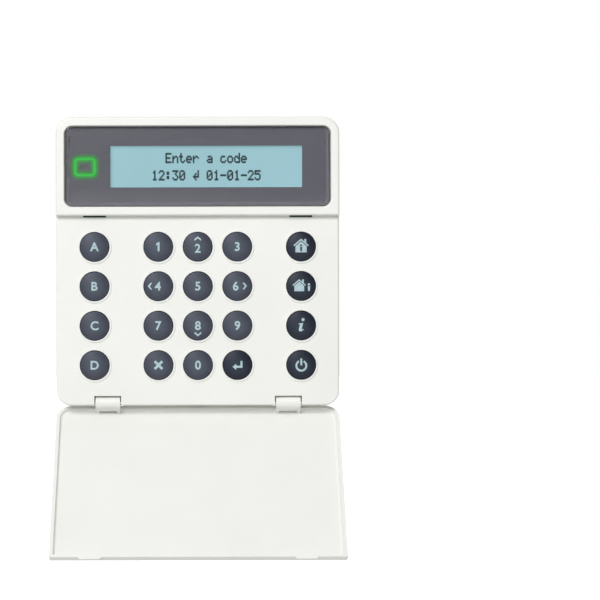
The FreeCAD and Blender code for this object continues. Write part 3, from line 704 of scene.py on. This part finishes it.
def house(x, y, width):
    """A pitched roof with a chimney, and the walls below it, as two outlines drawn 5.6 wide and scaled."""
    s = width / 5.6
    roof = [(-2.8, 0.1), (0, 2.5), (1.2, 1.45), (1.2, 2.4), (1.9, 2.4), (1.9, 0.85), (2.8, 0.1), (2.5, -0.25)]
    roof += [(0, 1.85), (-2.5, -0.25)]
    walls = [(-2.05, -0.25), (0, 1.5), (2.05, -0.25), (2.05, -2.5), (-2.05, -2.5)]
    return [[(x + px * s, y + py * s) for px, py in outline] for outline in (roof, walls)]


def person(x, y, height):
    """A head over a plain body, as two outlines drawn about 3 high and scaled."""
    s = height / 3.0
    body = [(-0.6, 0.4), (0.6, 0.4), (0.42, -0.3), (0.34, -1.5), (-0.34, -1.5), (-0.42, -0.3)]
    return [circle(x, y + 1.1 * s, 0.48 * s, 16), [(x + px * s, y + py * s) for px, py in body]]


def cross(size, weight):
    """A diagonal cross, as one outline: the two ends of each arm, then the notch before the next arm."""
    a, b = size / 2, weight / 2
    arms = []
    for turn in (45, 135, 225, 315):
        c, s = math.cos(math.radians(turn)), math.sin(math.radians(turn))
        arms += [(a * c + b * s, a * s - b * c), (a * c - b * s, a * s + b * c)]
        notch = math.radians(turn + 45)
        arms.append((b * math.sqrt(2) * math.cos(notch), b * math.sqrt(2) * math.sin(notch)))
    return arms


ENTER_ARROW = [
    (-2.15, -0.75), (-0.55, 0.55), (-0.55, -0.3), (1.25, -0.3), (1.25, 1.75), (2.1, 1.75),
    (2.1, -1.2), (-0.55, -1.2), (-0.55, -2.05),
]
ITALIC_I = [
    (-1.05, 0.85), (0.85, 1.05), (0.2, -1.5), (0.3, -1.8), (0.9, -1.45), (1.05, -1.75),
    (0.1, -2.55), (-0.85, -2.45), (-1.1, -1.85), (-0.5, 0.4), (-1.15, 0.45),
]
# The font's one is a bare bar, so it is drawn here.
ONE = [(0.55, -1.95), (0.55, 1.95), (-0.05, 1.95), (-0.95, 1.2), (-0.95, 0.55), (-0.25, 0.8), (-0.25, -1.95)]
LETTER_SIZE, LETTER_BOLD = 5.1, 0.13


def letter(text, x=0.0, y=0.0):
    """One letter or digit, centred on a point."""
    return placed(flat_text(text, LETTER_SIZE, LETTER_BOLD), x, y)


def nine():
    """A six turned round, because the font's nine doesn't take the weight."""
    mesh = letter("6")
    mesh.transform(Matrix.Rotation(math.pi, 4, "Z"))
    return mesh


LEGENDS = {f"key_{c}": [letter(c.upper())] for c in "abcd"}
LEGENDS.update({f"key_{c}": [letter(c)] for c in "3570"})
LEGENDS["key_1"] = [flat_mesh([ONE])]
LEGENDS["key_9"] = [nine()]
LEGENDS["key_2"] = [letter("2", 0, -0.7), flat_mesh([chevron(0, 3.8, 90)])]
LEGENDS["key_4"] = [letter("4", -0.2, 0), flat_mesh([chevron(-3.9, 0, 180)])]
LEGENDS["key_6"] = [letter("6", -0.7, 0), flat_mesh([chevron(3.5, 0, 0)])]
LEGENDS["key_8"] = [letter("8"), flat_mesh([chevron(0, -4.0, 270)])]
LEGENDS["key_cancel"] = [flat_mesh([cross(4.6, 1.05)])]
LEGENDS["key_enter"] = [flat_mesh([ENTER_ARROW])]
LEGENDS["key_info"] = [flat_mesh([circle(0.75, 2.45, 0.66), ITALIC_I])]
LEGENDS["key_power"] = [
    flat_mesh([arc_band(0, -0.35, 2.1, 0.8, 118, 422)]),
    flat_mesh([[(-0.4, -0.2), (0.4, -0.2), (0.4, 2.7), (-0.4, 2.7)]]),
]
LEGENDS["key_home"] = [flat_mesh([*house(0, 0.4, 6.5), *person(0, -0.65, 2.9)])]
LEGENDS["key_away"] = [flat_mesh(house(-0.8, 0.3, 5.7)), flat_mesh(person(3.3, -0.55, 3.2))]
for name, parts in LEGENDS.items():
    legend(name + "_legend", name, parts)


# ---------------------------------------------------------------- the LCD's message

# Five by seven dots, one string for each row.
GLYPHS = {
    "E": "##### #.... #.... ####. #.... #.... #####",
    "n": "..... ..... #.##. ##..# #...# #...# #...#",
    "t": ".#... .#... ###.. .#... .#... .#..# ..##.",
    "e": "..... ..... .###. #...# ##### #.... .###.",
    "r": "..... ..... #.##. ##..# #.... #.... #....",
    "c": "..... ..... .###. #.... #.... #...# .###.",
    "o": "..... ..... .###. #...# #...# #...# .###.",
    "d": "....# ....# .##.# #..## #...# #...# .####",
    "a": "..... ..... .###. ....# .#### #...# .####",
    "0": ".###. #...# #..## #.#.# ##..# #...# .###.",
    "1": "..#.. .##.. ..#.. ..#.. ..#.. ..#.. .###.",
    "2": ".###. #...# ....# ...#. ..#.. .#... #####",
    "3": "##### ...#. ..#.. ...#. ....# #...# .###.",
    "4": "...#. ..##. .#.#. #..#. ##### ...#. ...#.",
    "5": "##### #.... ####. ....# ....# #...# .###.",
    ":": "..... .##.. .##.. ..... .##.. .##.. .....",
    "-": "..... ..... ..... ##### ..... ..... .....",
    ">": "....# ....# ..#.# .#..# ##### .#... ..#..",
    " ": "..... ..... ..... ..... ..... ..... .....",
}
DOT_PITCH_X, DOT_PITCH_Z, DOT_THICKNESS = 0.485 * MM, 0.60 * MM, 0.05 * MM
# Each dot's size over its pitch: they run together, as bold characters do.
DOT_FILL = 1.45
LINE_PITCH = 7.35 * MM
MESSAGE = ("Enter a code", "12:30 > 01-01-25")


def dot_line(name, text, x, z, y):
    """One line of characters, centred on a point, as thin dots on the glass, with a blank column after each."""
    columns = 6 * len(text) - 1
    size = Matrix.Diagonal((DOT_PITCH_X * DOT_FILL, DOT_THICKNESS, DOT_PITCH_Z * DOT_FILL, 1))
    shape = bmesh.new()
    for place, character in enumerate(text):
        for row, dots in enumerate(GLYPHS[character].split()):
            for column, dot in enumerate(dots):
                if dot != "#":
                    continue
                px = x + (6 * place + column - columns / 2 + 0.5) * DOT_PITCH_X
                pz = z + (3 - row) * DOT_PITCH_Z
                bmesh.ops.create_cube(shape, size=1.0, matrix=Matrix.Translation((px, y, pz)) @ size)
    made = piece(name, finished(shape, name), TEXT_FINISH)
    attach(made, "case")


lcd_low, lcd_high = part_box("lcd_glass")
for number, text in enumerate(MESSAGE):
    height = (lcd_low.z + lcd_high.z) / 2 + (0.5 - number) * LINE_PITCH
    dot_line(f"lcd_line_{number + 1}", text, (lcd_low.x + lcd_high.x) / 2, height, lcd_low.y)


# ---------------------------------------------------------------- stage, light and camera

FLOOR_DROP, FLOOR_SIZE = 30 * MM, 6.0
TENT_LIGHT, GAP_LIGHT, FLOOR_LIGHT = 0.475, 0.08, 0.75
# The gap's edge fades between these angles from straight ahead of the keypad.
GAP_FROM, GAP_TO = math.radians(8), math.radians(26)
# The tent is brighter by this much below the lower of these two slopes, and not above the upper one.
BELOW_GAIN, BELOW_FROM, BELOW_TO = 1.6, -0.85, -0.25
SOFTBOX_PLACE, SOFTBOX_SIZE, SOFTBOX_POWER = (-0.62, -1.79, 0.95), 1.0, 34.5


def stage_floor():
    """A pale floor, bright enough to fade into the white surroundings. It lights nothing itself."""
    shape = bmesh.new()
    bmesh.ops.create_grid(shape, x_segments=8, y_segments=8, size=FLOOR_SIZE)
    mesh = finished(shape, "floor")
    floor = shown("floor", mesh)
    floor.location.z = cad_box[0].z - FLOOR_DROP
    pale = Surface("floor", Roughness=0.9)
    pale.colour((0.86, 0.86, 0.86), (0.88, 0.88, 0.88), 0.5)
    pale.shader.inputs["Emission Color"].default_value = (1, 1, 1, 1)
    pale.shader.inputs["Emission Strength"].default_value = FLOOR_LIGHT
    mesh.materials.append(pale.material)
    floor.visible_diffuse = False


def softbox():
    """The main light: a large disk up and to the left, aimed at the cover."""
    data = bpy.data.lights.new("softbox", "AREA")
    data.shape = "DISK"
    data.size = SOFTBOX_SIZE
    data.energy = SOFTBOX_POWER
    made = shown("softbox", data)
    made.location = SOFTBOX_PLACE
    made.rotation_mode = "QUATERNION"
    made.rotation_quaternion = (COVER_CENTRE - Vector(SOFTBOX_PLACE)).to_track_quat("-Z", "Y")


def fade(tree, value, first, last, start, end):
    """A smooth change from one level to another while a value goes from first to last."""
    made = tree.nodes.new("ShaderNodeMapRange")
    made.interpolation_type = "SMOOTHSTEP"
    for socket, number in zip(("From Min", "From Max", "To Min", "To Max"), (first, last, start, end)):
        made.inputs[socket].default_value = number
    tree.links.new(value, made.inputs["Value"])
    return made.outputs["Result"]


def surroundings():
    """A light tent, seen as white: brighter towards the floor, with a dark gap in front of the keypad."""
    world = bpy.data.worlds.new("studio")
    bpy.context.scene.world = world
    world.use_nodes = True
    nodes, links = world.node_tree.nodes, world.node_tree.links
    split = nodes.new("ShaderNodeSeparateXYZ")
    links.new(nodes.new("ShaderNodeTexCoord").outputs["Generated"], split.inputs["Vector"])
    forward, up = split.outputs["Y"], split.outputs["Z"]
    gap = fade(world.node_tree, forward, -math.cos(GAP_FROM), -math.cos(GAP_TO), GAP_LIGHT, TENT_LIGHT)
    below = fade(world.node_tree, up, BELOW_FROM, BELOW_TO, BELOW_GAIN, 1.0)
    tent = nodes.new("ShaderNodeMath")
    tent.operation = "MULTIPLY"
    links.new(gap, tent.inputs[0])
    links.new(below, tent.inputs[1])
    seen = nodes.new("ShaderNodeMix")
    links.new(nodes.new("ShaderNodeLightPath").outputs["Is Camera Ray"], seen.inputs["Factor"])
    links.new(tent.outputs["Value"], seen.inputs["A"])
    seen.inputs["B"].default_value = 1.0
    links.new(seen.outputs["Result"], nodes["Background"].inputs["Strength"])
    nodes["Background"].inputs["Color"].default_value = (1.0, 1.0, 1.0, 1.0)


CAMERA_DISTANCE = 0.911
CAMERA_HEIGHT = -33 * MM
CAMERA_ROLL = math.radians(0.12)
LENS = 129.25
SHIFT = 0.1701, 0.0654


def camera():
    """Straight in front of the cover, a little below its middle. The shift puts the keypad at the left."""
    data = bpy.data.cameras.new("camera")
    data.sensor_width = 36.0
    data.lens = LENS
    data.shift_x, data.shift_y = SHIFT
    data.clip_start, data.clip_end = 0.05, 50.0
    made = shown("camera", data)
    made.location = (COVER_CENTRE.x, COVER[0].y - CAMERA_DISTANCE, COVER_CENTRE.z + CAMERA_HEIGHT)
    made.rotation_euler = (math.pi / 2, CAMERA_ROLL, 0)
    bpy.context.scene.camera = made


stage_floor()
surroundings()
softbox()
camera()
bpy.context.scene.view_settings.view_transform = "Standard"
